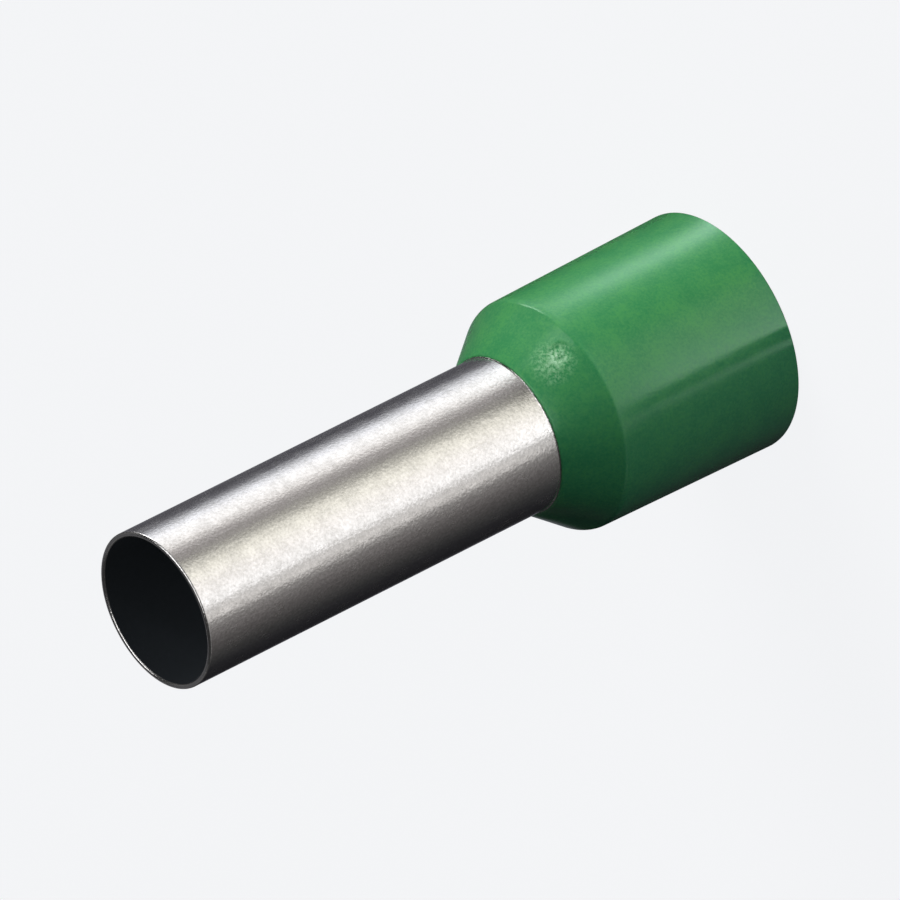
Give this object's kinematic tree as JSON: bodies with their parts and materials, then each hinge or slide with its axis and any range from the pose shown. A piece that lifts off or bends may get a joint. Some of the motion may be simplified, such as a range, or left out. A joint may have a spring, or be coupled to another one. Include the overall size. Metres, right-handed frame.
{
  "type": "wire ferrule",
  "caption": "Insulated end ferrule: a tinned copper tube, flared inside a green moulded collar, for the bared end of a stranded wire.",
  "frame": {"origin": "centre of the collar's mouth, in the plane of its end face, on which the ferrule stands", "axes": "+Z along the axis, from the mouth where the wire enters to the tip of the metal sleeve; the gate mark faces -Y"},
  "size_m": [0.0096, 0.0096, 0.0272],
  "materials": {
    "tinned_copper": "satin",
    "green_polypropylene": "satin"
  },
  "bodies": {
    "root": {"sleeve": "tinned_copper", "collar": "green_polypropylene"}
  },
  "joints": []
}
